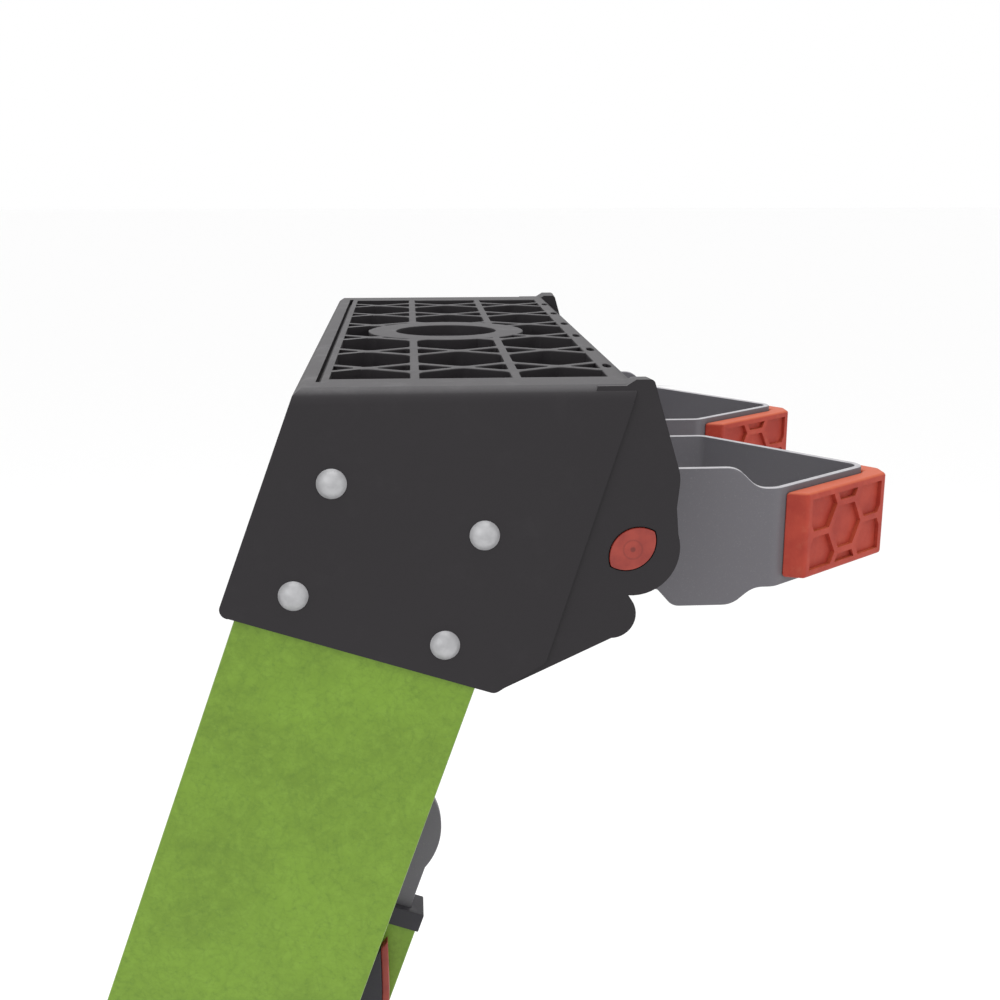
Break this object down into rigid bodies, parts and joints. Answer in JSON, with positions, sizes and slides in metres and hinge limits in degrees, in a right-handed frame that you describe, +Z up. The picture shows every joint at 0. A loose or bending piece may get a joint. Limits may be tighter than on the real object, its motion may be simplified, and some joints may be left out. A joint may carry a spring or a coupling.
{
  "type": "step ladder",
  "caption": "Fibreglass step ladder in its leaning form: ribbed top cap with a swing-out wall pad, treads between splayed channel rails, and a folding rear section.",
  "frame": {"origin": "centre of the footprint's box, at floor level under the front feet", "axes": "+Z up, +X towards the wall that the pads rest on, +Y to the climber's left"},
  "size_m": [0.874, 0.5844, 1.7241],
  "materials": {
    "cap_plastic": "moulded black plastic, fine texture",
    "fibreglass": "green pigmented glass-fibre pultrusion, satin",
    "black_plastic": "moulded black plastic",
    "sole_rubber": "black rubber",
    "boot_plastic": "moulded dark grey plastic",
    "grey_paint": "grey powder coat",
    "orange_rubber": "orange rubber",
    "orange_plastic": "orange plastic, satin",
    "step_aluminium": "brushed extruded aluminium",
    "rivet_aluminium": "satin aluminium",
    "plated_steel": "zinc plated steel"
  },
  "bodies": {
    "front_section": {"top_cap": "cap_plastic", "cap_rivets": "rivet_aluminium", "front_rail_left": "fibreglass", "front_rail_right": "fibreglass", "hinge_bracket_left": "plated_steel", "hinge_bracket_right": "plated_steel", "hinge_pins": "plated_steel", "step_1": "step_aluminium", "step_2": "step_aluminium", "step_3": "step_aluminium", "step_4": "step_aluminium", "step_5": "step_aluminium", "step_rivets": "rivet_aluminium", "knee_brace_left": "plated_steel", "knee_brace_right": "plated_steel", "brace_rivets": "rivet_aluminium", "front_foot_left": "boot_plastic", "front_foot_right": "boot_plastic", "front_foot_pad_left": "sole_rubber", "front_foot_pad_right": "sole_rubber", "foot_rivets": "rivet_aluminium", "spreader_pins": "plated_steel"},
    "wall_pad": {"wall_pad_shaft": "plated_steel", "wall_pad_loop_left": "grey_paint", "wall_pad_loop_right": "grey_paint", "wall_pad_grip_left": "orange_rubber", "wall_pad_grip_right": "orange_rubber", "shaft_collars": "plated_steel"},
    "rear_section": {"rear_rail_left": "fibreglass", "rear_rail_right": "fibreglass", "rear_rail_cap_left": "black_plastic", "rear_rail_cap_right": "black_plastic", "hinge_plate_left": "grey_paint", "hinge_plate_right": "grey_paint", "hinge_plate_rivets": "rivet_aluminium", "rear_rung_1": "step_aluminium", "rear_rung_2": "step_aluminium", "rear_rung_3": "step_aluminium", "rear_rung_4": "step_aluminium", "rung_rivets": "rivet_aluminium", "rear_foot_left": "boot_plastic", "rear_foot_right": "boot_plastic", "rear_foot_pad_left": "sole_rubber", "rear_foot_pad_right": "sole_rubber", "spreader_studs": "plated_steel", "lock_lever_pins": "plated_steel"},
    "spreader_front_left": {"spreader_front_left": "plated_steel", "spreader_middle_pin_left": "plated_steel"},
    "spreader_rear_left": {"spreader_rear_left": "plated_steel"},
    "lock_lever_left": {"lock_lever_left": "black_plastic", "lock_lever_grip_left": "orange_plastic"},
    "release_button_left": {"release_button_left": "orange_plastic", "button_spring_left": "plated_steel"},
    "spreader_front_right": {"spreader_front_right": "plated_steel", "spreader_middle_pin_right": "plated_steel"},
    "spreader_rear_right": {"spreader_rear_right": "plated_steel"},
    "lock_lever_right": {"lock_lever_right": "black_plastic", "lock_lever_grip_right": "orange_plastic"},
    "release_button_right": {"release_button_right": "orange_plastic", "button_spring_right": "plated_steel"}
  },
  "joints": [
    {"name": "rear_hinge", "type": "hinge", "parent": "front_section", "child": "rear_section", "pos_m": [0.21494, 0, 1.53089], "axis": [0, -1, 0], "range_deg": [0, 31]},
    {"name": "wall_pad_swing", "type": "hinge", "parent": "front_section", "child": "wall_pad", "pos_m": [0.31355, 0, 1.6621], "axis": [0, 1, 0], "range_deg": [0, 110]},
    {"name": "spreader_front_left_pivot", "type": "hinge", "parent": "front_section", "child": "spreader_front_left", "pos_m": [0.00409, 0.18113, 0.98299], "axis": [0, 1, 0], "range_deg": [0, 71.92]},
    {"name": "spreader_middle_left_pivot", "type": "hinge", "parent": "spreader_front_left", "child": "spreader_rear_left", "pos_m": [0.06783, 0.17055, 1.13434], "axis": [0, -1, 0], "range_deg": [0, 174.42]},
    {"name": "lock_lever_left_pivot", "type": "hinge", "parent": "rear_section", "child": "lock_lever_left", "pos_m": [0.19184, 0.14958, 1.43927], "axis": [0, -1, 0], "range_deg": [0, 22]},
    {"name": "release_button_left_press", "type": "slide", "parent": "front_section", "child": "release_button_left", "axis": [0, -1, 0], "range_m": [0, 0.003], "stiffness_N_per_m": 300, "springref_m": -0.01, "deforming": ["button_spring_left"]},
    {"name": "spreader_front_right_pivot", "type": "hinge", "parent": "front_section", "child": "spreader_front_right", "pos_m": [0.00409, -0.18113, 0.98299], "axis": [0, 1, 0], "range_deg": [0, 71.92]},
    {"name": "spreader_middle_right_pivot", "type": "hinge", "parent": "spreader_front_right", "child": "spreader_rear_right", "pos_m": [0.06783, -0.17055, 1.13434], "axis": [0, -1, 0], "range_deg": [0, 174.42]},
    {"name": "lock_lever_right_pivot", "type": "hinge", "parent": "rear_section", "child": "lock_lever_right", "pos_m": [0.19184, -0.14958, 1.43927], "axis": [0, -1, 0], "range_deg": [0, 22]},
    {"name": "release_button_right_press", "type": "slide", "parent": "front_section", "child": "release_button_right", "axis": [0, 1, 0], "range_m": [0, 0.003], "stiffness_N_per_m": 300, "springref_m": -0.01, "deforming": ["button_spring_right"]}
  ],
  "couplings": [
    {"joint": "spreader_front_left_pivot", "follows": "rear_hinge", "ratio": 2.3199},
    {"joint": "spreader_middle_left_pivot", "follows": "rear_hinge", "ratio": 5.6263},
    {"joint": "spreader_front_right_pivot", "follows": "rear_hinge", "ratio": 2.3199},
    {"joint": "spreader_middle_right_pivot", "follows": "rear_hinge", "ratio": 5.6263}
  ]
}
